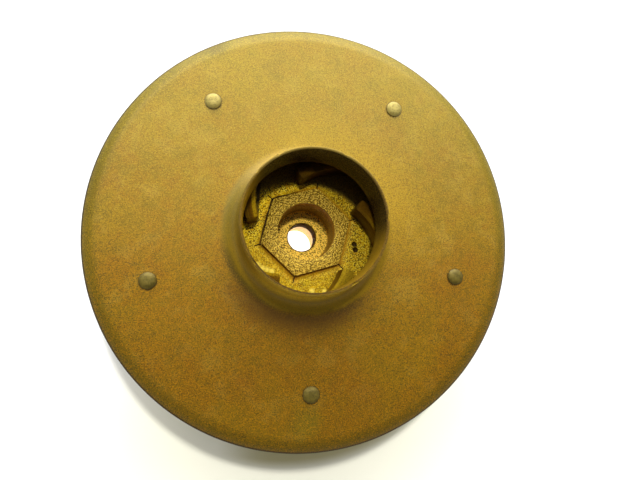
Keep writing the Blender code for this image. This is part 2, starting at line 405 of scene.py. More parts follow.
class Bench:
    """Modelling moves that every sub-assembly uses."""

    @staticmethod
    def only(piece: bpy.types.Object) -> None:
        """Makes one object the selected and active one.

        Args:
            piece: the object.
        """
        bpy.ops.object.select_all(action="DESELECT")
        piece.select_set(True)
        bpy.context.view_layer.objects.active = piece

    @staticmethod
    @contextmanager
    def editing(piece: bpy.types.Object) -> Iterator[None]:
        """Holds one object in edit mode.

        Args:
            piece: the object.

        Yields:
            Nothing, while the object is in edit mode.
        """
        Bench.only(piece)
        bpy.ops.object.mode_set(mode="EDIT")
        yield
        bpy.ops.object.mode_set(mode="OBJECT")

    @staticmethod
    def add(primitive: Callable[..., Any], scale: Place = (1.0, 1.0, 1.0),
            **settings: Any) -> bpy.types.Object:
        """Adds a primitive by itself, with its place in its mesh.

        Args:
            primitive: the operator that adds it.
            scale: how far it is stretched along its own axes.
            settings: sizes and place that the operator takes.

        Returns:
            The new object.
        """
        bpy.ops.object.select_all(action="DESELECT")
        primitive(**settings)
        bpy.context.object.scale = scale
        bpy.ops.object.transform_apply()
        return bpy.context.object

    @staticmethod
    def modify(piece: bpy.types.Object, kind: str, **settings: Any) -> None:
        """Puts a modifier on a piece and applies it.

        Args:
            piece: the piece.
            kind: the modifier's type.
            settings: its properties.
        """
        Bench.only(piece)
        modifier = piece.modifiers.new("shaping", kind)
        for name, value in settings.items():
            setattr(modifier, name, value)
        bpy.ops.object.modifier_apply(modifier=modifier.name)

    @staticmethod
    def pick(piece: bpy.types.Object, test: Callable[[Vector], bool], edges: bool = False) -> None:
        """Selects vertices or edges by the place of their middle, in edit mode.

        Args:
            piece: the object in edit mode.
            test: says whether a middle is chosen.
            edges: whether edges are selected instead of vertices.
        """
        bpy.ops.mesh.select_mode(type="EDGE" if edges else "VERT")
        bpy.ops.mesh.select_all(action="DESELECT")
        bpy.ops.object.mode_set(mode="OBJECT")
        corners = piece.data.vertices
        for item in piece.data.edges if edges else corners:
            ends = [corners[i].co for i in item.vertices] if edges else [item.co]
            item.select = test(sum(ends, Vector()) / len(ends))
        bpy.ops.object.mode_set(mode="EDIT")

    @staticmethod
    def face_out() -> None:
        """Turns every face of the mesh in edit mode outwards."""
        bpy.ops.mesh.select_all(action="SELECT")
        bpy.ops.mesh.normals_make_consistent(inside=False)

    @staticmethod
    def settle(piece: bpy.types.Object, name: str) -> bpy.types.Object:
        """Puts a finished piece's place into its mesh and names it.

        Args:
            piece: the piece.
            name: its name.

        Returns:
            The same piece.
        """
        Bench.only(piece)
        bpy.ops.object.transform_apply()
        piece.name = name
        piece.data.name = name
        return piece

    @staticmethod
    def turn(name: str, profile: Sequence[Point], steps: int,
             closed: bool = False) -> bpy.types.Object:
        """Draws a profile vertex by vertex and spins it round the wheel's axis.

        Args:
            name: the piece's name.
            profile: points as radius and level.
            steps: facets round the axis.
            closed: whether the profile is a loop that doesn't touch the axis.

        Returns:
            The turned piece, closed and facing out.
        """
        start = profile[0]
        piece = Bench.add(
            bpy.ops.mesh.primitive_plane_add, size=MILLIMETRE, location=(start[0], 0.0, start[1]))
        with Bench.editing(piece):
            bpy.ops.mesh.select_mode(type="VERT")
            bpy.ops.mesh.merge(type="CENTER")
            route = list(profile[1:]) + ([start] if closed else [])
            for before, after in zip([start, *route], route):
                move = (after[0] - before[0], 0.0, after[1] - before[1])
                bpy.ops.mesh.extrude_region_move(TRANSFORM_OT_translate={"value": move})
            bpy.ops.mesh.select_all(action="SELECT")
            bpy.ops.mesh.spin(steps=steps, angle=2 * math.pi, center=(0, 0, 0), axis=(0, 0, 1))
            bpy.ops.mesh.select_all(action="SELECT")
            bpy.ops.mesh.remove_doubles(threshold=SEAM)
            Bench.face_out()
        return Bench.settle(piece, name)

    @staticmethod
    def prism(radius: float, sides: int, low: float, high: float,
              turn: float = 0.0) -> bpy.types.Object:
        """An upright prism on the wheel's axis.

        Args:
            radius: distance from its axis to its corners.
            sides: how many sides it has.
            low: its lower end.
            high: its upper end.
            turn: direction of its first corner, in radians.

        Returns:
            The prism.
        """
        return Bench.add(
            bpy.ops.mesh.primitive_cylinder_add, vertices=sides, radius=radius, depth=high - low,
            location=(0.0, 0.0, (low + high) / 2), rotation=(0.0, 0.0, turn - math.pi / 2))

    @staticmethod
    def bevel(piece: bpy.types.Object, width: float, segments: int, angle: float) -> None:
        """Rounds every edge of a piece that is sharper than a limit.

        Args:
            piece: the piece.
            width: width of the rounding.
            segments: facets across it.
            angle: the limit, in degrees.
        """
        Bench.modify(
            piece, "BEVEL", width=width, segments=segments, limit_method="ANGLE",
            angle_limit=math.radians(angle), use_clamp_overlap=True)

    @staticmethod
    def combine(piece: bpy.types.Object, tool: bpy.types.Object, operation: Operation) -> None:
        """Cuts or joins a piece with a tool, which is then thrown away."""
        Bench.modify(piece, "BOOLEAN", operation=operation.value, solver="EXACT", object=tool)
        bpy.data.objects.remove(tool, do_unlink=True)

    @staticmethod
    def join(pieces: Iterable[bpy.types.Object]) -> bpy.types.Object:
        """Joins loose tools into one object.

        Args:
            pieces: the tools.

        Returns:
            The one object.
        """
        pieces = list(pieces)
        Bench.only(pieces[0])
        for piece in pieces:
            piece.select_set(True)
        bpy.ops.object.join()
        return bpy.context.object

    @staticmethod
    def repeat_round(first: bpy.types.Object, name: str, count: int) -> list[bpy.types.Object]:
        """Copies a piece round the wheel's axis, each copy with its own mesh.

        Args:
            first: the piece that is copied, which becomes number 1.
            name: name that the numbers are added to.
            count: how many there are in all.

        Returns:
            All of them, in order.
        """
        pieces = [Bench.settle(first, f"{name}_1")]
        for number in range(2, count + 1):
            Bench.only(first)
            bpy.ops.object.duplicate(linked=False)
            copy = bpy.context.object
            copy.rotation_euler.z = 2 * math.pi * (number - 1) / count
            pieces.append(Bench.settle(copy, f"{name}_{number}"))
        return pieces

    @staticmethod
    def waver(piece: bpy.types.Object, size: float, depth: float) -> None:
        """Presses soft hollows into a piece from above, never past its first shape.

        Args:
            piece: the piece.
            size: width of the hollows.
            depth: their greatest depth.
        """
        clouds = bpy.data.textures.new("hollows", "CLOUDS")
        clouds.noise_scale = size
        clouds.noise_depth = 1
        Bench.modify(
            piece, "DISPLACE", texture=clouds, texture_coords="LOCAL", direction="Z",
            mid_level=1.0, strength=depth)

    @staticmethod
    def smooth(piece: bpy.types.Object, angle: float = 32.0) -> None:
        """Shades a piece smooth between its sharp edges."""
        Bench.only(piece)
        bpy.ops.object.shade_smooth_by_angle(angle=math.radians(angle))

    @staticmethod
    def hand_over(
            piece: bpy.types.Object, material: bpy.types.Material, slot: Slot, *nodes: str) -> None:
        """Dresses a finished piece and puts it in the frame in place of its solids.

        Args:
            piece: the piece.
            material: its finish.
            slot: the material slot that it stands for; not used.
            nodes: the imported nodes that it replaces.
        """
        piece.data.materials.clear()
        piece.data.materials.append(material)
        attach(piece, BODY)
        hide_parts(*nodes)
        LOG.info("%s: %d faces", piece.name, len(piece.data.polygons))


@dataclass(frozen=True)
class Hexagon:
    """Outline of the hub's nose, which the hole in the plate follows."""

    across: float = 0.0292
    corner_round: float = 0.0016
    first_corner: float = 15.0
    corner_steps: int = 6

    def bar(self, low: float, high: float, play: float = 0.0) -> bpy.types.Object:
        """A bar with rounded corners.

        Args:
            low: its lower end.
            high: its upper end.
            play: how much larger it is all round.

        Returns:
            The bar.
        """
        across = self.across + 2 * play
        bar = Bench.prism(across / math.sqrt(3), 6, low, high, math.radians(self.first_corner))
        with Bench.editing(bar):
            Bench.pick(bar, lambda spot: abs(spot.z - (low + high) / 2) < SEAM, edges=True)
            offset = (self.corner_round + play) * math.tan(math.radians(30.0))
            bpy.ops.mesh.bevel(offset=offset, segments=self.corner_steps, affect="EDGES")
        return bar

    def distance(self, graph: Graph) -> Signal:
        """Distance from the wheel's axis, measured square to the flats of the side it is on.

        Args:
            graph: the material that needs it.

        Returns:
            The distance, which is half the size across flats all round the outline.
        """
        furthest = None
        for side in range(3):
            angle = math.radians(self.first_corner + 30.0 + 60.0 * side)
            across = (graph.x * math.cos(angle) + graph.y * math.sin(angle)).size()
            furthest = across if furthest is None else furthest.greatest(across)
        return furthest


@dataclass(frozen=True)
class Stain:
    """A round stain that fades from its inner to its outer radius."""

    place: Point
    inner: float
    outer: float
    strength: float
    tone: Colour


@dataclass(frozen=True)
class ShroudFinish:
    """Ochre tarnish on spun brass, olive at the rounded edge and grey olive round the collar, with
    painted light and shade on the flat, the bend and the collar's walls.
    """

    wheel: Wheel
    ochre: Colour = (0.365, 0.21, 0.0015)
    amber: Colour = (0.345, 0.158, 0.0005)
    rust: Colour = (0.255, 0.1, 0.0005)
    olive: Colour = (0.19, 0.135, 0.003)
    straw: Colour = (0.62, 0.43, 0.025)
    pale_straw: Colour = (0.62, 0.44, 0.07)
    orange: Colour = (0.6, 0.262, 0.002)
    speck: Colour = (0.08, 0.036, 0.0002)
    grey_speck: Colour = (0.05, 0.042, 0.007)
    painted_glow_tone: Colour = (0.48, 0.285, 0.004)
    painted_sheen: Colour = (0.3, 0.235, 0.006)
    tan: Colour = (0.22, 0.098, 0.0005)
    shade: Colour = (0.11, 0.05, 0.002)
    ring_olive: Colour = (0.205, 0.155, 0.01)
    painted_edge_shade: Colour = (0.13, 0.1, 0.008)
    grey_olive: Colour = (0.18, 0.135, 0.01)
    painted_lit_olive: Colour = (0.4, 0.25, 0.008)
    painted_lit_straw: Colour = (0.95, 0.66, 0.05)
    painted_ring_shade: Colour = (0.06, 0.042, 0.008)
    green: Colour = (0.2, 0.19, 0.01)
    red: Colour = (0.24, 0.07, 0.001)
    edge_brown: Colour = (0.05, 0.028, 0.004)
    painted_wall_shade: Colour = (0.018, 0.009, 0.001)
    painted_low_wall_light: Colour = (0.28, 0.17, 0.014)
    painted_wall_light: Colour = (0.33, 0.19, 0.0025)
    painted_left_wall_light: Colour = (0.56, 0.33, 0.006)
    copper: Colour = (0.125, 0.07, 0.012)
    painted_lit_copper: Colour = (0.24, 0.165, 0.03)
    clouds: Lumps = (0.03, 3.0, 0.55)
    drift: Lumps = (0.009, 3.0, 0.6)
    patches: Lumps = (0.0048, 3.0, 0.6)
    mottle: Lumps = (0.0009, 2.0, 0.6)
    grain: Lumps = (0.00045, 1.0, 0.5)
    fine: Lumps = (0.00036, 1.0, 0.5)
    bands: Lumps = (0.0016, 1.0, 0.5)
    metallic: float = 0.75
    coat_roughness: float = 0.27
    grain_depth: float = 0.00001
    patch_depth: float = 0.00006
    flare_reach: float = 0.0312
    bend_wander: float = 0.0016
    bend_fade: Ends = (0.0, -0.0022)
    rim_fade: Ends = (-0.007, -0.002)
    dull_fade: Ends = (-0.005, -0.002)
    brink_fade: Ends = (-0.0009, -0.0004)
    gloss_fade: Ends = (-0.0004, -0.0008)
    gloss_reach: Ends = (-0.06, 0.05)
    bore_fade: Ends = (-0.0003, -0.0006)
    top_fade: Ends = (-0.0006, -0.0001)
    low_side: Ends = (0.03, -0.03)
    shade_reach: Ends = (0.04, 0.0325)
    painted_glow_reach: Ends = (0.05, 0.031)
    painted_light_wander: float = 0.03
    painted_sheen_reach: Ends = (-0.02, 0.07)
    bottom_shade_reach: Ends = (0.01, -0.05)
    band_wander: float = 0.0012
    painted_lit_strip_reach: Ends = (0.0258, 0.0243)
    ring_radius: float = 0.0296
    ring_swell: float = 0.0016
    ring_wander: float = 0.001
    ring_fade: Ends = (0.0022, 0.0004)
    painted_wall_levels: Ends = (0.061, 0.054)
    stains: tuple[Stain, ...] = (
        Stain((-0.032, 0.067), 0.002, 0.008, 0.7, green),
        Stain((-0.002, -0.0655), 0.002, 0.008, 0.7, green),
        Stain((-0.023, -0.0524), 0.001, 0.01, 0.5, red),
        Stain((0.0187, -0.0576), 0.001, 0.01, 0.5, red),
        Stain((-0.0124, 0.0597), 0.001, 0.006, 0.25, edge_brown),
        Stain((-0.0326, 0.0668), 0.001, 0.006, 0.9, edge_brown))
    rivet_foot: Ends = (0.0029, 0.0034)

    def make(self) -> bpy.types.Material:
        """Builds the material.

        Returns:
            The shroud's material.
        """
        graph = Graph("shroud_brass")
        clouds, drift, patches, mottle, grain, fine = (graph.noise(*lumps) for lumps in (
            self.clouds, self.drift, self.patches, self.mottle, self.grain, self.fine))
        outer, top = self.wheel.outer_radius, self.wheel.collar_top
        bend = graph.radius + (patches - 0.5) * self.bend_wander
        bend = bend.edge(self.flare_reach, self.bend_fade)
        calm = 1 - bend * 0.6
        low = graph.y.step(*self.low_side)
        fleck = graph.blend(low, self.straw, self.orange)
        speck = graph.blend(low, self.speck, self.grey_speck)
        # Painted shadow of the collar on the flat just below it, towards the bottom.
        collar_shadow = graph.radius.step(*self.shade_reach) * graph.toward(-98.0).step(0.5, 1.0)
        brink = graph.radius.edge(outer, self.brink_fade)
        colour = graph.paint(
            graph.blend(clouds.step(0.35, 0.65), self.ochre, self.amber),
            (drift.step(0.5, 0.66) * 0.22, self.pale_straw),
            (patches.step(0.42, 0.68) * 0.42, self.olive),
            (patches.step(0.48, 0.32) * 0.45, self.rust),
            *self._stains(graph, clouds),
            *self._collar(graph, patches, bend),
            (mottle.step(0.47, 0.66) * 0.36 * calm, self.olive),
            (grain.step(0.5, 0.64) * (0.32 + low * 0.18) * calm, fleck),
            (fine.step(0.5, 0.64) * (0.46 + low * 0.24) * calm, speck),
            # Painted shadow below the collar.
            (collar_shadow * (1 - bend) * 0.8, self.shade),
            (brink * 0.85, self.edge_brown))
        below_top = graph.z.edge(top, self.gloss_fade) * 0.9 + 0.1
        dull = graph.radius.edge(outer, self.dull_fade)
        gloss = (graph.y.step(*self.gloss_reach) * 0.35 + 0.22) * (1 - dull * 0.55) * below_top
        rough = 0.5 + patches * 0.1 + grain * 0.06 + dull * 0.12 + self._bore(graph) * 0.3
        return graph.finish(
            base_color=colour, metallic=self.metallic, roughness=rough, coat_weight=gloss,
            coat_roughness=self.coat_roughness,
            normal=graph.bump((patches, self.patch_depth), (grain, self.grain_depth)))

    def _bore(self, graph: Graph) -> Signal:
        """Mask of the collar's inner wall."""
        return graph.radius.edge(FrontShroud.collar_radius, self.bore_fade)

    def _stains(self, graph: Graph, clouds: Signal) -> list[Coat]:
        """Colours of the disc's edge, with painted shade on its upper left, and of its flat:
        painted glow, sheen and shade, stains, and dark rings round the rivets' feet.

        Args:
            graph: the material.
            clouds: noise that the stains follow.

        Returns:
            The coats, lowest first.
        """
        # Painted shade on the upper-left side of the rounded edge.
        side = graph.toward(135.0).step(0.6, 0.9)
        rim = graph.radius.edge(self.wheel.outer_radius, self.rim_fade)
        # Painted glow of light on the flat beside the collar, towards the upper right.
        painted_glow = graph.radius.step(*self.painted_glow_reach) * graph.toward(55.0).step(0.0, 0.9)
        # Painted sheen towards the top of the flat and painted shade towards the bottom, along a
        # wandering line.
        height = graph.y + (clouds - 0.5) * self.painted_light_wander
        coats = [
            (rim * (0.6 + clouds * 0.5), graph.blend(side, self.ring_olive, self.painted_edge_shade)),
            (painted_glow * 0.7, self.painted_glow_tone),
            (height.step(*self.painted_sheen_reach) * 0.55, self.painted_sheen),
            (height.step(*self.bottom_shade_reach) * 0.4, self.tan)]
        for stain in self.stains:
            spot = graph.spot(stain.place, stain.inner, stain.outer)
            coats.append((spot * clouds * stain.strength, stain.tone))
        for place in self.wheel.rivet_places:
            coats.append((graph.spot(place, *self.rivet_foot) * 0.7, self.edge_brown))
        return coats

    def _collar(self, graph: Graph, patches: Signal, bend: Signal) -> list[Coat]:
        """Colours of the bend, the collar's two sides and its rim, with painted light and shade on
        each.

        Args:
            graph: the material.
            patches: noise that breaks up the bands round the collar.
            bend: mask of the bend and the collar.

        Returns:
            The coats, lowest first.
        """
        level = graph.z + (patches - 0.5) * self.band_wander
        bands = graph.noise(*self.bands, graph.add("CombineXYZ", {}, {2: level}))
        # The bend is paler on its lower side: painted light.
        olive = graph.toward(-95.0).step(-0.2, 0.7)
        # Painted light on a strip of the collar's outer side, towards the bottom.
        painted_lit_strip = graph.radius.step(*self.painted_lit_strip_reach) * graph.toward(-85.0).step(0.3, 0.95)
        # Painted shade on a dark ring where the bend meets the flat, on the lower side.
        middle = graph.toward(-70.0).step(0.3, 0.95) * self.ring_swell + self.ring_radius
        ring = (graph.radius + (patches - 0.5) * self.ring_wander - middle).size()
        # The collar's inner wall is painted shade, with painted light low down on its far side and
        # on its lower right and left sides.
        low = graph.z.step(*self.painted_wall_levels) * graph.toward(100.0).step(0.1, 0.6)
        wall = graph.paint(
            self.painted_wall_shade,
            (low, self.painted_low_wall_light),
            (graph.toward(-42.0).step(0.72, 1.0), self.painted_wall_light),
            (graph.toward(175.0).step(0.72, 0.97), self.painted_left_wall_light))
        # The rim is lighter on its far side: painted light.
        rim = graph.z.edge(self.wheel.collar_top, self.top_fade) * 0.85
        far = graph.toward(90.0).step(0.4, 0.95)
        return [
            (bend * graph.toward(-130.0).step(-0.9, 0.5) * 0.85,
             graph.blend(olive, self.grey_olive, self.painted_lit_olive)),
            (bend * bands.step(0.48, 0.6) * 0.45, self.ring_olive),
            (painted_lit_strip, self.painted_lit_straw),
            (ring.step(*self.ring_fade) * graph.toward(-110.0).step(0.35, 0.75) * 0.75,
             self.painted_ring_shade),
            (self._bore(graph), wall),
            (rim, graph.blend(far, self.copper, self.painted_lit_copper))]


@dataclass(frozen=True)
class PlateFinish:
    """Yellow brass of the back plate, pitted and pressed in round the hub, with painted highlights,
    glints and shade.
    """

    hexagon: Hexagon
    face: float
    yellow: Colour = (0.68, 0.405, 0.003)
    green: Colour = (0.56, 0.365, 0.003)
    rust: Colour = (0.4, 0.17, 0.001)
    pit_and_shade: Colour = (0.075, 0.036, 0.0005)
    painted_sparkle: Colour = (0.95, 0.74, 0.06)
    painted_glints: Colour = (0.95, 0.76, 0.11)
    shaded: Colour = (0.07, 0.042, 0.006)
    dirt_and_shade: Colour = (0.018, 0.008, 0.0006)
    brown: Colour = (0.26, 0.1, 0.001)
    clouds: Lumps = (0.01, 3.0, 0.55)
    patches: Lumps = (0.003, 3.0, 0.6)
    grain: Lumps = (0.00055, 1.0, 0.5)
    fine: Lumps = (0.00045, 1.0, 0.5)
    metallic: float = 0.35
    specular: float = 0.25
    crevice_width: float = 0.0011
    crevice_fade: Ends = (1.2, 0.6)
    dish_wander: float = 0.001
    dish_fade: Ends = (0.0004, 0.0028)
    dish_depth: float = 0.0005
    cut_fade: Ends = (-0.00005, -0.00018)
    foot_aside: float = 0.0182
    foot_slant: float = 0.06
    foot_fade: Ends = (0.0009, 0.0003)
    foot_start: Ends = (0.0025, 0.0045)
    foot_end: Ends = (0.02, 0.017)
    grain_depth: float = 0.00008
    patch_depth: float = 0.00015
    open_place: Point = (-0.0028, -0.0117)
    open_reach: Ends = (0.029, 0.0315)
    painted_glint_reach: Ends = (0.0003, 0.0014)
    painted_glint_places: tuple[Point, ...] = (
        (-0.0176, -0.0118), (-0.016, -0.013), (-0.0143, -0.0137), (-0.0126, -0.0142),
        (0.002, -0.0216), (0.0066, -0.0219))

    def make(self) -> bpy.types.Material:
        """Builds the material.

        Returns:
            The plate's material.
        """
        graph = Graph("plate_brass")
        clouds, patches, grain, fine = (
            graph.noise(*lumps) for lumps in (self.clouds, self.patches, self.grain, self.fine))
        beyond = self.hexagon.distance(graph) - self.hexagon.across / 2
        dish = (beyond + (patches - 0.5) * self.dish_wander).step(*self.dish_fade)
        # Painted shade on the plate's right side; towards the bottom it is a little darker and less
        # pitted.
        dull = graph.toward(20.0).step(-0.2, 0.8)
        calm = graph.toward(-110.0).step(0.2, 0.8)
        rough = (0.45 + dish * 0.55) * (1 - calm * 0.4)
        # Painted highlights: bright spots at listed places near the hub.
        painted_glints = [graph.spot(place, *self.painted_glint_reach) * 0.6 for place in self.painted_glint_places]
        # Painted shade over the plate outside the round patch that the lamp lights.
        painted_shade = 1 - graph.spot(self.open_place, *self.open_reach)
        colour = graph.paint(
            graph.blend(clouds.step(0.38, 0.65), self.yellow, self.green),
            (patches.step(0.46, 0.68) * 0.6, self.rust),
            ((1 - dish) * 0.45, self.rust),
            (grain.step(0.48, 0.55) * rough * 0.95, self.pit_and_shade),
            # Bright grain that stands in for glints: painted light.
            (fine.step(0.54, 0.61) * rough * 0.9, self.painted_sparkle),
            (dull * 0.45 + calm * 0.28, self.pit_and_shade),
            *((spot, self.painted_glints) for spot in painted_glints),
            (painted_shade * 0.85, self.shaded),
            *self._dirt_and_shade(graph, beyond, patches))
        return graph.finish(
            base_color=colour, metallic=self.metallic,
            roughness=0.3 + clouds * 0.14 + grain * 0.12, specular_ior_level=self.specular,
            normal=graph.bump(
                (patches, self.patch_depth), (grain, self.grain_depth), (dish, self.dish_depth)))

    def _dirt_and_shade(self, graph: Graph, beyond: Signal, patches: Signal) -> list[Coat]:
        """Dirt and painted shade in the gap round the hub, darker walls in the cuts of the plate,
        and a painted shadow at the foot of a vane.

        Args:
            graph: the material.
            beyond: distance outside the hexagon's flats.
            patches: noise that makes the gap's dirt uneven.

        Returns:
            The coats, lowest first.
        """
        # The line in the gap is dirt with painted shade, stronger on the upper-left side.
        side = graph.toward(150.0).step(0.3, 0.9)
        crevice = (beyond / (self.crevice_width * (0.5 + patches))).step(*self.crevice_fade)
        # The walls of the cuts below the plate's face are darkened.
        cut = graph.z.edge(self.face, self.cut_fade)
        # Painted shadow in a line on the plate beside the left vane's foot.
        aside = (graph.x - graph.y * self.foot_slant + self.foot_aside).size()
        foot = (aside.step(*self.foot_fade) * graph.y.step(*self.foot_start)
                * graph.y.step(*self.foot_end))
        return [
            (crevice * (0.5 + side * 0.5), graph.blend(side, self.brown, self.dirt_and_shade)),
            (cut * 0.95, self.dirt_and_shade),
            (foot * 0.85, self.dirt_and_shade)]


@dataclass(frozen=True)
class HubFinish:
    """Turned brass with fine rings from the tool, brown inside the bores, with painted light on its
    lower side and flanks, painted shade on its upper right, and painted glints.
    """

    counterbore_radius: float
    counterbore_level: float
    stud_radius: float
    hex_face: float
    tan: Colour = (0.27, 0.15, 0.007)
    gold: Colour = (0.33, 0.19, 0.007)
    orange: Colour = (0.22, 0.095, 0.002)
    painted_lit_tan: Colour = (0.76, 0.46, 0.05)
    painted_sparkle: Colour = (0.9, 0.62, 0.08)
    speck: Colour = (0.06, 0.031, 0.001)
    floor_orange: Colour = (0.95, 0.58, 0.07)
    painted_lit_flank: Colour = (0.58, 0.26, 0.004)
    bore_brown: Colour = (0.06, 0.028, 0.003)
    patches: Lumps = (0.004, 3.0, 0.6)
    grain: Lumps = (0.00045, 1.0, 0.5)
    fine: Lumps = (0.0004, 1.0, 0.5)
    rings: Lumps = (0.0004, 1.0, 0.5)
    ring_run: float = 0.004
    barrel_fade: Ends = (-0.001, -0.002)
    inside_fade: Ends = (0.0002, -0.0002)
    wall_fade: Ends = (0.0002, 0.001)
    flank_top: Ends = (-0.00003, -0.00015)
    flank_foot: Ends = (-0.004, -0.0035)
    bore_fade: Ends = (0.0006, 0.0002)
    metallic: float = 0.35
    specular: float = 0.25
    grain_depth: float = 0.00006
    ring_depth: float = 0.00003

    def make(self) -> bpy.types.Material:
        """Builds the material.

        Returns:
            The hub's material.
        """
        graph = Graph("hub_brass")
        patches, grain, fine = (
            graph.noise(*lumps) for lumps in (self.patches, self.grain, self.fine))
        rings = graph.noise(*self.rings, graph.add("CombineXYZ", {}, {
            0: graph.radius + graph.z, 1: graph.turned() * self.ring_run}))
        barrel = graph.z.edge(self.counterbore_level, self.barrel_fade)
        inside = graph.radius.edge(self.counterbore_radius, self.inside_fade)
        wall = graph.z.edge(self.counterbore_level, self.wall_fade)
        face = (1 - inside * (0.1 + wall * 0.7)) * (1 - barrel * 0.75)
        flank = (graph.z.edge(self.hex_face, self.flank_top) * (1 - inside)
                 * graph.z.edge(self.hex_face, self.flank_foot))
        bore = graph.radius.edge(self.stud_radius, self.bore_fade)
        colour = graph.paint(
            graph.blend(patches.step(0.4, 0.7), self.tan, self.gold),
            # Painted light on the lower side.
            (graph.toward(-105.0).step(0.2, 0.95) * 0.5, self.painted_lit_tan),
            # Painted shade on the upper-right side.
            (graph.toward(50.0).step(0.1, 0.9) * 0.3, self.orange),
            (rings.step(0.45, 0.55) * (0.8 - barrel * 0.45), self.speck),
            # Lighter turning rings stand in for glints: painted light.
            (rings.step(0.45, 0.37) * (0.4 - barrel * 0.25), self.painted_sparkle),
            (inside * wall * 0.9, self.orange),
            (inside * (1 - wall) * 0.95, self.floor_orange),
            (grain.step(0.49, 0.55) * (0.55 + inside * 0.4) * face, self.speck),
            # Bright grain: painted glints.
            (fine.step(0.53, 0.6) * 0.6 * face, self.painted_sparkle),
            # The nose's flanks are lifted with painted light.
            (flank * 0.8, self.painted_lit_flank),
            (bore * 0.95, self.bore_brown))
        return graph.finish(
            base_color=colour, roughness=0.36 + grain * 0.2 + bore * 0.45,
            metallic=self.metallic - bore * self.metallic, specular_ior_level=self.specular,
            normal=graph.bump((rings, self.ring_depth), (grain, self.grain_depth)))


@dataclass(frozen=True)
class VaneFinish:
    """Stained brass of the vanes: brown on top, golden streaks along their sides, a painted
    highlight and painted shade on their tops, and painted shade on the vanes towards the upper
    right.
    """

    top: float
    nose_angle: float
    nose_radius: float
    slope: float
    brown: Colour = (0.15, 0.066, 0.001)
    gold: Colour = (0.42, 0.26, 0.003)
    dark: Colour = (0.045, 0.02, 0.001)
    olive: Colour = (0.27, 0.19, 0.006)
    patches: Lumps = (0.004, 3.0, 0.6)
    streaks: Lumps = (0.0011, 2.0, 0.6)
    grain: Lumps = (0.0006, 2.0, 0.65)
    streak_run: Place = (0.018, 0.05, 0.8)
    crown_fade: Ends = (-0.0008, -0.0002)
    metallic: float = 0.6
    specular: float = 0.15
    grain_depth: float = 0.00005
    streak_depth: float = 0.00015

    def make(self) -> bpy.types.Material:
        """Builds the material.

        Returns:
            The vanes' material.
        """
        graph = Graph("vane_brass")
        patches = graph.noise(*self.patches)
        grain = graph.noise(*self.grain)
        outward = graph.math("LOGARITHM", graph.radius, math.e)
        spiral = (graph.turned() + (outward - math.log(self.nose_radius)) / self.slope
                  - self.nose_angle)
        run = zip((spiral, graph.radius, graph.z), self.streak_run)
        streaks = graph.noise(*self.streaks, graph.add("CombineXYZ", {}, {
            axis: value * pull for axis, (value, pull) in enumerate(run)}))
        side = graph.math("SINE", spiral * float(Vanes.count))
        crown = graph.z.edge(self.top, self.crown_fade)
        # Painted highlight in a golden stripe along the tops, strongest on the left vane, and
        # painted shade on the other half of the tops.
        stripe = side.step(-0.85, -0.65) * side.step(-0.05, -0.3)
        lit = graph.toward(175.0).step(0.2, 0.8)
        colour = graph.paint(
            self.brown,
            (streaks.step(0.5, 0.64) * (0.25 + crown * 0.3), self.gold),
            (crown * stripe * (0.35 + lit * 0.4), self.gold),
            (crown * side.step(0.0, 0.5) * 0.6, self.dark),
            (crown * graph.toward(-55.0).step(0.6, 0.9) * 0.6, self.olive),
            # Painted shade on the vanes towards the upper right.
            (graph.toward(60.0).step(0.2, 0.8) * 0.9, self.dark),
            (patches.step(0.45, 0.65) * 0.4, self.brown),
            (grain.step(0.5, 0.66) * 0.6, self.dark))
        return graph.finish(
            base_color=colour, roughness=0.34 + patches * 0.2, metallic=self.metallic,
            specular_ior_level=self.specular,
            normal=graph.bump((streaks, self.streak_depth), (grain, self.grain_depth)))


@dataclass(frozen=True)
class RivetFinish:
    """Grey olive tarnish on the rivet heads, blotched, darker at their feet, and lighter on the
    upper rivets with painted light.
    """

    disc_face: float
    olive: Colour = (0.125, 0.092, 0.01)
    worn: Colour = (0.175, 0.128, 0.016)
    straw: Colour = (0.5, 0.4, 0.105)
    dark: Colour = (0.05, 0.03, 0.004)
    patches: Lumps = (0.0014, 2.0, 0.6)
    grain: Lumps = (0.0006, 1.0, 0.5)
    metallic: float = 0.65
    coat: float = 0.25
    coat_roughness: float = 0.4
    patch_depth: float = 0.00016
    foot_fade: Ends = (0.0005, 0.0001)

    def make(self) -> bpy.types.Material:
        """Builds the material.

        Returns:
            The rivets' material.
        """
        graph = Graph("rivet_brass")
        patches = graph.noise(*self.patches)
        grain = graph.noise(*self.grain)
        foot = graph.z.edge(self.disc_face, self.foot_fade)
        colour = graph.paint(
            graph.blend(patches.step(0.4, 0.6), self.olive, self.worn),
            # Painted light: rivets towards the top are lighter.
            (graph.y.step(-0.02, 0.045) * 0.75, self.straw),
            (grain.step(0.52, 0.7) * 0.35, self.dark),
            (foot * 0.8, self.dark))
        return graph.finish(
            base_color=colour, roughness=0.52 + patches * 0.16, metallic=self.metallic,
            coat_weight=self.coat, coat_roughness=self.coat_roughness,
            normal=graph.bump((patches, self.patch_depth)))


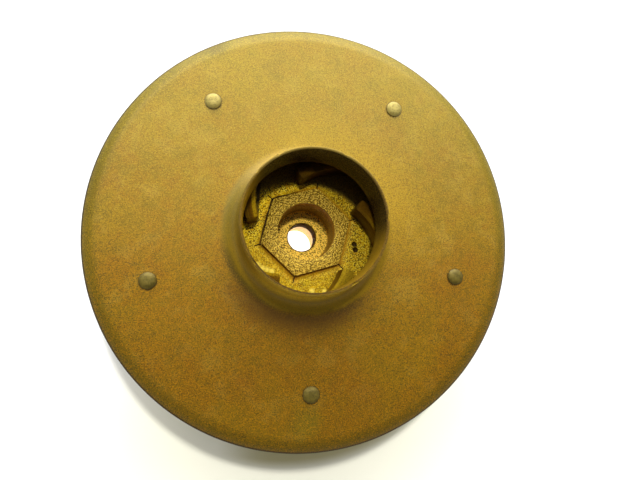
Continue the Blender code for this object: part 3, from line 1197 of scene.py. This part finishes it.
@dataclass
class FrontShroud:
    """Disc with a rounded edge and an inlet collar, spun from one sheet."""

    wheel: Wheel
    sheet: float = 0.001
    collar_radius: float = 0.0238
    flare_radius: float = 0.0072
    lip_radius: float = 0.008
    lip_drop: float = 0.0022
    edge_round: float = 0.00028
    steps: int = 192
    edge_steps: int = 3
    collar_steps: int = 10
    flare_steps: int = 18
    disc_steps: int = 20
    lip_steps: int = 12
    hollow_width: float = 0.035
    hollow_depth: float = 0.00022
    nick_angles: tuple[float, ...] = (140.0, 2.0, 118.0, 215.0, 300.0, 64.0)
    nick_depth: float = 0.00028
    nick_lean: float = 0.5
    nick_half_width: float = 0.0009

    @property
    def flare(self) -> Point:
        """Centre of the bend from the collar to the disc, as radius and level."""
        return self.collar_radius + self.flare_radius, self.wheel.disc_face + self.flare_radius

    def profile(self) -> list[Point]:
        """Cross-section of the sheet, as a loop that runs down its outer side.

        Returns:
            Points as radius and level.
        """
        wheel, rounding, flare = self.wheel, self.edge_round, self.flare
        bore = self.collar_radius - self.sheet
        top = wheel.collar_top - rounding
        turn = math.degrees(math.acos(1.0 - self.lip_drop / self.lip_radius))
        lip = (wheel.outer_radius - self.lip_radius * math.sin(math.radians(turn)),
               wheel.disc_face - self.lip_radius)
        points = arc((bore + rounding, top), rounding, 180.0, 90.0, self.edge_steps)
        points += arc(
            (self.collar_radius - rounding, top), rounding, 90.0, 0.0, self.edge_steps)
        points += stretch(points[-1], (self.collar_radius, flare[1]), self.collar_steps)
        points += arc(flare, self.flare_radius, 180.0, 270.0, self.flare_steps)
        points += stretch(points[-1], (lip[0], wheel.disc_face), self.disc_steps)
        points += arc(lip, self.lip_radius, 90.0, 90.0 - turn, self.lip_steps)
        points += arc(lip, self.lip_radius - self.sheet, 90.0 - turn, 90.0, self.lip_steps)
        points += stretch(points[-1], (flare[0], wheel.disc_under), self.disc_steps)
        points += arc(flare, self.flare_radius + self.sheet, 270.0, 180.0, self.flare_steps)
        points += stretch(points[-1], (bore, top), self.collar_steps)
        return points

    def build(self) -> bpy.types.Object:
        """Spins the sheet, drills it for the rivets and nicks its rim.

        Returns:
            The finished piece.
        """
        piece = Bench.turn("spun_front_shroud", self.profile(), self.steps, closed=True)
        Bench.waver(piece, self.hollow_width, self.hollow_depth)
        self._nick(piece)
        Bench.combine(piece, self.wheel.rivet_pegs(self.wheel.disc_face), Operation.CUT)
        Bench.smooth(piece)
        return piece

    def _nick(self, piece: bpy.types.Object) -> None:
        """Knocks small dents into the collar's rim.

        Args:
            piece: the spun sheet.
        """
        with Bench.editing(piece):
            for angle in map(math.radians, self.nick_angles):
                middle = polar(self.collar_radius, angle, self.wheel.collar_top)
                Bench.pick(piece, lambda spot: (spot - middle).length < self.nick_half_width)
                push = -polar(self.nick_depth * self.nick_lean, angle, self.nick_depth)
                bpy.ops.transform.translate(value=push)

    def dress(self, piece: bpy.types.Object) -> None:
        """Gives the sheet its tarnish and puts it in the frame."""
        Bench.hand_over(piece, ShroudFinish(self.wheel).make(), Slot.SHROUD, "front_shroud")


@dataclass
class BackShroud:
    """Flat plate that holds the hub in a hexagonal hole."""

    wheel: Wheel
    hexagon: Hexagon = Hexagon()
    sides: int = 192
    rim_round: float = 0.0003
    rim_steps: int = 3
    rim_angle: float = 60.0
    slit_length: float = 0.0026
    slit_width: float = 0.00045
    slit_depth: float = 0.00045
    hole_play: float = 0.0002
    hole_shift: Place = (-0.00017, 0.0001, 0.0)
    punch_radius: float = 0.0011
    punch_lift: float = 0.3
    punch_sides: int = 20
    punch_rings: int = 10
    punch_places: tuple[Point, ...] = ((0.0182, -0.0045), (0.0186, -0.0066))

    def build(self) -> bpy.types.Object:
        """Cuts the plate and marks it round the hub.

        Returns:
            The finished piece.
        """
        under, face = self.wheel.plate_under, self.wheel.plate_face
        piece = Bench.prism(self.wheel.outer_radius, self.sides, under, face)
        Bench.bevel(piece, self.rim_round, self.rim_steps, self.rim_angle)
        hole = self.hexagon.bar(under - PAST, face + PAST, self.hole_play)
        hole.location = self.hole_shift
        Bench.combine(piece, hole, Operation.CUT)
        Bench.combine(piece, self.wheel.rivet_pegs(face), Operation.CUT)
        Bench.combine(piece, self._slits(), Operation.CUT)
        Bench.combine(piece, self._punches(), Operation.CUT)
        Bench.smooth(piece)
        return Bench.settle(piece, "stamped_back_shroud")

    def _slits(self) -> bpy.types.Object:
        """Cutters for the short grooves that run on from the corners of the hole.

        Returns:
            The cutters as one tool.
        """
        corner = (self.hexagon.across / 2) / math.cos(math.pi / 6)
        size = (self.slit_length, self.slit_width, 2 * self.slit_depth)
        tools = []
        for side in range(6):
            angle = math.radians(self.hexagon.first_corner + 60.0 * side)
            middle = polar(corner + self.slit_length / 2, angle, self.wheel.plate_face)
            tools.append(Bench.add(
                bpy.ops.mesh.primitive_cube_add, size, size=1.0, location=middle,
                rotation=(0.0, 0.0, angle)))
        return Bench.join(tools)

    def _punches(self) -> bpy.types.Object:
        """Cutters for two plain punch dots beside the hub.

        Returns:
            The cutters as one tool.
        """
        level = self.wheel.plate_face + self.punch_radius * self.punch_lift
        return Bench.join(
            Bench.add(
                bpy.ops.mesh.primitive_uv_sphere_add, segments=self.punch_sides,
                ring_count=self.punch_rings, radius=self.punch_radius, location=(x, y, level))
            for x, y in self.punch_places)

    def dress(self, piece: bpy.types.Object) -> None:
        """Gives the plate its washed brass and puts it in the frame."""
        finish = PlateFinish(self.hexagon, self.wheel.plate_face)
        Bench.hand_over(piece, finish.make(), Slot.PLATE, "back_shroud")


@dataclass
class Hub:
    """Turned barrel and shoulder with a hexagonal nose, bored from both ends."""

    wheel: Wheel
    hexagon: Hexagon = Hexagon()
    shoulder_thickness: float = 0.0048
    shoulder_break: float = 0.0004
    barrel_radius: float = 0.0143
    chamfer: float = 0.0008
    fillet: float = 0.001
    fillet_steps: int = 6
    counterbore_radius: float = 0.0105
    counterbore_level: float = 0.0299
    bore_break: float = 0.0003
    stud_radius: float = 0.00555
    shaft_radius: float = 0.00715
    shaft_level: float = 0.0215
    countersink: float = 0.0006
    edge_round: float = 0.00028
    edge_steps: int = 2
    edge_angle: float = 50.0
    steps: int = 128

    def build(self) -> bpy.types.Object:
        """Turns, mills and bores the hub.

        Returns:
            The finished piece.
        """
        wheel, broken = self.wheel, self.shoulder_break
        face, radius = wheel.shoulder_face, wheel.shoulder_radius
        under = face - self.shoulder_thickness
        body = [
            (0.0, face), (radius - broken, face), (radius, face - broken),
            (radius, under + broken), (radius - broken, under)]
        body += arc((self.barrel_radius + self.fillet, under - self.fillet), self.fillet,
                    90.0, 180.0, self.fillet_steps)
        body += [(self.barrel_radius, self.chamfer), (self.barrel_radius - self.chamfer, 0.0)]
        body += [(0.0, 0.0)]
        piece = Bench.turn("turned_hub", body, self.steps)
        nose = self.hexagon.bar(face - self.shoulder_thickness / 2, wheel.hex_face)
        Bench.combine(piece, nose, Operation.JOIN)
        Bench.combine(piece, self._bores(), Operation.CUT)
        Bench.bevel(piece, self.edge_round, self.edge_steps, self.edge_angle)
        Bench.smooth(piece)
        return piece

    def _bores(self) -> bpy.types.Object:
        """Tool that cuts the counterbore and both bores, with their broken edges.

        Returns:
            The tool.
        """
        wide, stud, shaft = self.counterbore_radius, self.stud_radius, self.shaft_radius
        top, floor, broken = self.wheel.hex_face + PAST, self.counterbore_level, self.bore_break
        return Bench.turn("bores", [
            (0.0, top), (wide, top), (wide, floor + broken), (wide - broken, floor),
            (stud + broken, floor), (stud, floor - broken), (stud, self.shaft_level),
            (shaft, self.shaft_level), (shaft, self.countersink),
            (shaft + self.countersink + PAST, -PAST), (0.0, -PAST)], self.steps)

    def dress(self, piece: bpy.types.Object) -> None:
        """Gives the hub its turned brass and puts it in the frame."""
        finish = HubFinish(self.counterbore_radius, self.counterbore_level, self.stud_radius,
                           self.wheel.hex_face)
        Bench.hand_over(piece, finish.make(), Slot.HUB, "hub")


@dataclass
class Vanes:
    """Five alike solid vanes on equiangular spirals, each turned a little about its rivet."""

    wheel: Wheel
    nose_radius: float = 0.0198
    tip_radius: float = 0.0698
    slope: float = 0.53
    nose_half: float = 0.0021
    nose_reach: float = 0.0016
    nose_corner: float = 0.001
    belly_half: float = 0.0033
    tip_half: float = 0.0009
    tip_corner_share: float = 0.96
    end_reach: float = 1.2
    end_steps: int = 8
    extra_height: float = 0.001
    edge_round: float = 0.0005
    edge_steps: int = 3
    edge_angle: float = 50.0
    play: float = 0.00025
    foot_gap: float = 0.00002
    room_steps: int = 10
    room_sides: int = 96
    seam: float = 0.00002
    flat_angle: float = 1.0
    stations: int = 44
    count: int = 5
    turns: tuple[float, ...] = (-0.8, -1.8, -1.2, -0.9, -0.3)

    @property
    def sweep(self) -> float:
        """Angle from nose to tip, in radians."""
        return math.log(self.tip_radius / self.nose_radius) / self.slope

    @property
    def rivet_sweep(self) -> float:
        """Angle from nose to rivet, in radians."""
        return math.log(self.wheel.rivet_circle / self.nose_radius) / self.slope

    def half_thickness(self, share: float) -> float:
        """Half the vane's thickness.

        Args:
            share: where, as a share of the sweep.

        Returns:
            The half thickness there, which is greatest at the rivet.
        """
        belly = self.rivet_sweep / self.sweep
        if share < belly:
            part, start, end = share / belly, self.nose_half, self.belly_half
        else:
            part, start, end = (share - belly) / (1 - belly), self.belly_half, self.tip_half
        return start + (end - start) * part * part * (3 - 2 * part)

    def angle(self, share: float) -> float:
        """Angle of the first vane's centre line at a share of the sweep, in radians."""
        return self.wheel.rivet_first_angle + self.rivet_sweep - self.sweep * share

    def centre(self, share: float) -> Vector:
        """Point of the centre line at a share of the sweep, at the plate's face."""
        radius = self.nose_radius * math.exp(self.slope * self.sweep * share)
        return polar(radius, self.angle(share), self.wheel.plate_face)

    def heading(self, share: float) -> float:
        """Direction of travel along the centre line, in radians."""
        return self.angle(share) - math.atan2(1.0, self.slope)

    def build(self) -> list[bpy.types.Object]:
        """Models one vane and copies it round the wheel.

        Returns:
            The finished pieces.
        """
        piece = self._foot()
        height = self.wheel.vane_top - self.wheel.plate_face + self.extra_height
        with Bench.editing(piece):
            bpy.ops.mesh.select_all(action="SELECT")
            bpy.ops.mesh.extrude_region_move(
                TRANSFORM_OT_translate={"value": (0.0, 0.0, height)})
            Bench.face_out()
            self._round_ends(piece, self.wheel.plate_face + height / 2)
        pieces = Bench.repeat_round(piece, "swept_vane", self.count)
        for vane, place, turn in zip(pieces, self.wheel.rivet_places, self.turns):
            self._fit(vane, place, turn)
        return pieces

    def _fit(self, vane: bpy.types.Object, place: Vector, turn: float) -> None:
        """Sets one vane in its place.

        Args:
            vane: the vane.
            place: where its rivet is.
            turn: how far it sits turned about its rivet, in degrees.
        """
        wheel = self.wheel
        with Bench.editing(vane):
            bpy.ops.mesh.select_all(action="SELECT")
            bpy.ops.transform.rotate(
                value=-math.radians(turn), orient_axis="Z", center_override=place)
        Bench.combine(vane, self._room(), Operation.KEEP)
        peg = Bench.prism(wheel.rivet_hole, wheel.peg_sides, wheel.plate_face - PAST,
                          wheel.disc_face)
        peg.location = place
        Bench.combine(vane, peg, Operation.CUT)
        self._clean(vane)
        Bench.bevel(vane, self.edge_round, self.edge_steps, self.edge_angle)
        Bench.smooth(vane)

    def _foot(self) -> bpy.types.Object:
        """Draws the strip that follows the spiral from nose to tip.

        Returns:
            The strip, flat on the plate.
        """
        start, half, heading = self.centre(0.0), self.nose_half, self.heading(0.0)
        piece = Bench.add(
            bpy.ops.mesh.primitive_plane_add, size=2 * half, location=start,
            rotation=(0.0, 0.0, heading))
        ahead = polar(1.0, heading)
        with Bench.editing(piece):
            Bench.pick(piece, lambda spot: (spot - start).dot(ahead) < -half / 2, edges=True)
            bpy.ops.transform.translate(value=ahead * (half - self.nose_reach))
            Bench.pick(piece, lambda spot: (spot - start).dot(ahead) > half / 2, edges=True)
            bpy.ops.transform.translate(value=-ahead * half)
            for station in range(self.stations):
                self._extend(station / self.stations, (station + 1) / self.stations)
        return piece

    def _extend(self, before: float, share: float) -> None:
        """Extrudes the leading edge to the next station and turns and sizes it there.

        Args:
            before: the station that it starts from, as a share of the sweep.
            share: the next one.
        """
        centre = self.centre(share)
        move = {"value": centre - self.centre(before)}
        bpy.ops.mesh.extrude_region_move(TRANSFORM_OT_translate=move)
        turn = self.heading(before) - self.heading(share)
        bpy.ops.transform.rotate(value=turn, orient_axis="Z", center_override=centre)
        ratio = self.half_thickness(share) / self.half_thickness(before)
        bpy.ops.transform.resize(value=(ratio, ratio, 1.0), center_override=centre)

    def _round_ends(self, piece: bpy.types.Object, middle: float) -> None:
        """Rounds the upright corners of the nose and the tip.

        Args:
            piece: the vane in edit mode.
            middle: level of the middle of its upright edges.
        """
        nose = self.centre(0.0) - polar(self.nose_reach, self.heading(0.0))
        for end, half, rounding in (
                (nose, self.nose_half, self.nose_corner),
                (self.centre(1.0), self.tip_half, self.tip_half * self.tip_corner_share)):
            reach = half * self.end_reach
            Bench.pick(piece, lambda spot: (
                abs(spot.z - middle) < SEAM and (spot.xy - end.xy).length < reach), edges=True)
            bpy.ops.mesh.bevel(offset=rounding, segments=self.end_steps, affect="EDGES")

    def _room(self) -> bpy.types.Object:
        """Models the space between plate and shroud, up into the bend of the collar.

        Returns:
            The space as a solid.
        """
        wheel, shroud = self.wheel, FrontShroud(self.wheel)
        reach = shroud.flare_radius + shroud.sheet + self.play
        start = 180.0 + math.degrees(math.asin((shroud.flare[1] - wheel.vane_top) / reach))
        outer, floor = wheel.outer_radius, wheel.plate_face + self.foot_gap
        profile = [(0.0, wheel.vane_top)] + arc(
            shroud.flare, reach, start, 270.0, self.room_steps)
        profile += [(outer, wheel.disc_under - self.play), (outer, floor), (0.0, floor)]
        return Bench.turn("room", profile, self.room_sides)

    def _clean(self, piece: bpy.types.Object) -> None:
        """Dissolves the cuts that lie in flat faces.

        Args:
            piece: the vane.
        """
        with Bench.editing(piece):
            bpy.ops.mesh.select_all(action="SELECT")
            bpy.ops.mesh.remove_doubles(threshold=self.seam)
            bpy.ops.mesh.dissolve_limited(angle_limit=math.radians(self.flat_angle))

    def dress(self, pieces: list[bpy.types.Object]) -> None:
        """Gives the vanes their stained brass and puts them in the frame.

        Args:
            pieces: the vanes, in order.
        """
        nose = self.angle(0.0)
        material = VaneFinish(self.wheel.vane_top, nose, self.nose_radius, self.slope).make()
        for number, piece in enumerate(pieces, 1):
            Bench.hand_over(piece, material, Slot.VANE, f"vane_{number}")


@dataclass
class Rivets:
    """Five alike rivets, domed in front and peened over behind."""

    wheel: Wheel
    shank_radius: float = 0.0016
    head_radius: float = 0.0029
    head_height: float = 0.0015
    flat_height: float = 0.0012
    dome_middle: float = 0.00005
    dome_powers: Point = (3.2, 0.62)
    dome_steps: int = 15
    foot_height: float = 0.0002
    foot_break: float = 0.0001
    back_radius: float = 0.0028
    back_height: float = 0.0012
    back_turn: float = -80.0
    back_steps: int = 8
    gap: float = 0.00001
    steps: int = 40

    def profile(self) -> list[Point]:
        """Cross-section of a rivet, from the middle of its dome to the middle of its back.

        Returns:
            Points as radius and level.
        """
        front = self.wheel.disc_face + self.gap
        back = self.wheel.plate_under - self.gap
        points = [(0.0, front + self.flat_height - self.dome_middle)]
        across, up = self.dome_powers
        for step in range(2, self.dome_steps):
            share = step / self.dome_steps
            rise = self.flat_height * (1 - share ** across) ** up
            points.append((self.head_radius * share, front + rise))
        points += [
            (self.head_radius, front + self.foot_height),
            (self.head_radius - self.foot_break, front),
            (self.shank_radius, front), (self.shank_radius, back)]
        peen = arc((0.0, back), 1.0, 0.0, self.back_turn, self.back_steps)
        points += [(self.back_radius * x, back + (z - back) * self.back_height) for x, z in peen]
        return points + [(0.0, back - self.back_height)]

    def build(self) -> list[bpy.types.Object]:
        """Turns one rivet, moves it to its hole and copies it round the wheel.

        Returns:
            The finished pieces.
        """
        piece = Bench.turn("domed_rivet", self.profile(), self.steps)
        bpy.ops.transform.translate(value=self.wheel.rivet_places[0])
        Bench.settle(piece, "domed_rivet")
        Bench.smooth(piece)
        return Bench.repeat_round(piece, "domed_rivet", len(self.wheel.rivet_places))

    def dress(self, pieces: list[bpy.types.Object]) -> None:
        """Gives the rivets their olive tarnish and puts them in the frame.

        Args:
            pieces: the rivets, in order.
        """
        material = RivetFinish(self.wheel.disc_face).make()
        for number, piece in enumerate(pieces, 1):
            Bench.hand_over(piece, material, Slot.RIVET, f"rivet_{number}")


@dataclass
class Studio:
    """Pale floor, soft light and the photograph's camera."""

    wheel: Wheel
    lens: float = 25.875
    sensor: float = 36.0
    nearest: float = 0.005
    camera_place: Place = (-0.268, -0.328, 2.123)
    camera_aim: Place = (0.0584, -0.0475, 0.0)
    floor_size: float = 6.0
    floor_level: float = -0.0002
    floor_pale: Colour = (0.88, 0.88, 0.85)
    floor_grey: Colour = (0.86, 0.86, 0.83)
    floor_painted_bounce: Colour = (0.9, 0.88, 0.72)
    floor_painted_shadow: Colour = (0.52, 0.47, 0.25)
    floor_clouds: float = 0.2
    floor_grain: float = 0.01
    floor_grain_depth: float = 0.00005
    floor_roughness: float = 0.6
    bare_reach: Ends = (0.078, 0.088)
    painted_bounce_reach: Ends = (0.15, 0.098)
    painted_shadow_reach: Ends = (0.0985, 0.0935)
    spot_radius: float = 0.0085
    spot_sides: int = 48
    spot_level: float = -0.0001
    glow_colour: Colour = (1.0, 1.0, 0.98)
    glow_strength: float = 1.2
    lamp_place: Place = (-0.006, 0.075, 0.379)
    lamp_size: float = 0.022
    lamp_power: float = 1.2
    sky_least: float = 0.1
    sky_most: float = 6.1
    sky_start: float = -0.1
    sky_curve: float = 1.35
    sky_narrow: Ends = (0.75, 0.35)
    sky_sides: float = 0.15
    sky_horizon: float = 0.6
    sky_low: Ends = (0.45, 0.1)

    def set_up(self) -> None:
        """Makes everything that isn't the object."""
        for make in (self._camera, self._floor, self._lamp, self._sky):
            make()

    def _camera(self) -> None:
        """Camera at the photograph's angle, worked out from the outline of the disc."""
        radius = self.wheel.outer_radius
        base = Vector((0.0, 0.0, self.wheel.disc_face - FrontShroud.lip_drop))
        place = base + Vector(self.camera_place) * radius
        back = (place - base - Vector(self.camera_aim) * radius).normalized()
        up = back.cross(Vector((1.0, 0.0, 0.0))).normalized()
        axes = Matrix((up.cross(back), up, back)).transposed().to_4x4()
        data = bpy.data.cameras.new("photo_camera")
        data.lens = self.lens
        data.sensor_width = self.sensor
        data.clip_start = self.nearest
        camera = bpy.data.objects.new("photo_camera", data)
        bpy.context.scene.collection.objects.link(camera)
        camera.matrix_world = Matrix.Translation(place) @ axes
        bpy.context.scene.camera = camera

    def _floor(self) -> None:
        """Pale floor with a painted shadow under the wheel's lower edge and a painted cream tint of
        light from the brass round it, and a glowing patch under the bore that stands in for lit
        floor.
        """
        bpy.ops.object.select_all(action="DESELECT")
        bpy.ops.mesh.primitive_plane_add(
            size=self.floor_size, location=(0.0, 0.0, self.floor_level))
        floor = bpy.context.object
        floor.name = "floor"
        graph = Graph("pale_floor")
        bare = graph.radius.step(*self.bare_reach)
        # Painted light: a cream tint of light reflected from the brass, towards the bottom.
        painted_bounce = graph.radius.step(*self.painted_bounce_reach) * bare * graph.toward(-85.0).step(0.3, 0.8)
        # Painted shadow under the wheel's lower edge.
        painted_shadow = graph.radius.step(*self.painted_shadow_reach) * graph.toward(-82.0).step(0.86, 0.97) * bare
        tone = graph.paint(
            self.floor_pale, (graph.noise(self.floor_clouds).step(0.4, 0.6), self.floor_grey),
            (painted_bounce, self.floor_painted_bounce), (painted_shadow, self.floor_painted_shadow))
        floor.data.materials.append(graph.finish(
            base_color=tone, roughness=self.floor_roughness,
            normal=graph.bump((graph.noise(self.floor_grain), self.floor_grain_depth))))
        bpy.ops.object.select_all(action="DESELECT")
        # A glowing patch that stands in for the lit floor seen through the bore.
        bpy.ops.mesh.primitive_circle_add(
            vertices=self.spot_sides, radius=self.spot_radius, fill_type="NGON",
            location=(0, 0, self.spot_level))
        spot = bpy.context.object
        spot.name = "glowing_floor_patch"
        spot.data.materials.append(Graph("glowing_floor_patch").finish(
            emission_color=(*self.glow_colour, 1.0), emission_strength=self.glow_strength))
        spot.visible_glossy = False

    def _lamp(self) -> None:
        """A small lamp above the wheel, which draws the shadows in the eye and under the edge."""
        data = bpy.data.lights.new("lamp", "AREA")
        data.shape = "DISK"
        data.size = self.lamp_size
        data.energy = self.lamp_power
        lamp = bpy.data.objects.new("lamp", data)
        lamp.location = self.lamp_place
        lamp.visible_camera = False
        lamp.visible_glossy = False
        bpy.context.scene.collection.objects.link(lamp)

    def _sky(self) -> None:
        """Surroundings that are bright towards the top of the picture and dim elsewhere."""
        world = bpy.data.worlds.new("pale_room")
        bpy.context.scene.world = world
        world.use_nodes = True
        tree = Tree(world.node_tree)
        background = world.node_tree.nodes["Background"]
        across, along, upward = tree.axes(tree.add("TexCoord", {}, {}, "Generated"))
        rise = (along - self.sky_start) / (1.0 - self.sky_start)
        rise = rise.greatest(0.0) ** self.sky_curve
        window = self.sky_sides + across.size().step(*self.sky_narrow) * (1 - self.sky_sides)
        horizon = upward.step(*self.sky_low) * self.sky_horizon + self.sky_least
        tree.feed(background.inputs["Color"], (1.0, 1.0, 1.0, 1.0))
        tree.feed(background.inputs["Strength"], rise * self.sky_most * window + horizon)
        bpy.context.scene.view_settings.view_transform = "Standard"


def main() -> None:
    """Builds the sub-assemblies in order and sets up the studio."""
    logging.basicConfig(level=logging.INFO, format="%(name)s %(message)s")
    wheel = Wheel.from_frame()
    for part in (FrontShroud(wheel), BackShroud(wheel), Hub(wheel), Vanes(wheel), Rivets(wheel)):
        part.dress(part.build())
    Studio(wheel).set_up()


if __name__ == "__main__":
    main()
